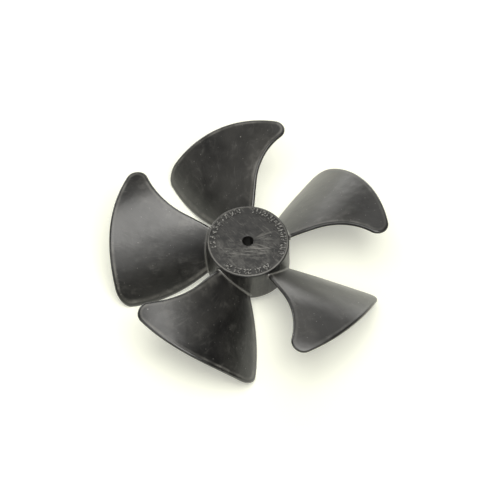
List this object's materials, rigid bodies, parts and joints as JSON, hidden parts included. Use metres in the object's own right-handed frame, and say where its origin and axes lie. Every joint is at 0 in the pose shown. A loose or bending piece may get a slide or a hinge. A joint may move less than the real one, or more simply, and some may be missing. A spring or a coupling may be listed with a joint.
{
  "type": "fan blade",
  "caption": "Moulded axial fan for a small motor: swept blades round a cup hub that is closed at the front, with a central shaft bore.",
  "frame": {"origin": "on the axis of the shaft bore, at the hub's open back rim", "axes": "+Z along the bore axis from the open back rim to the closed face; +X along the straight leading edge of one blade; the other blades follow at equal angles"},
  "size_m": [0.1187, 0.1182, 0.0286],
  "materials": {
    "black_plastic": "satin"
  },
  "bodies": {
    "root": {"fan_blade": "black_plastic"}
  },
  "joints": []
}
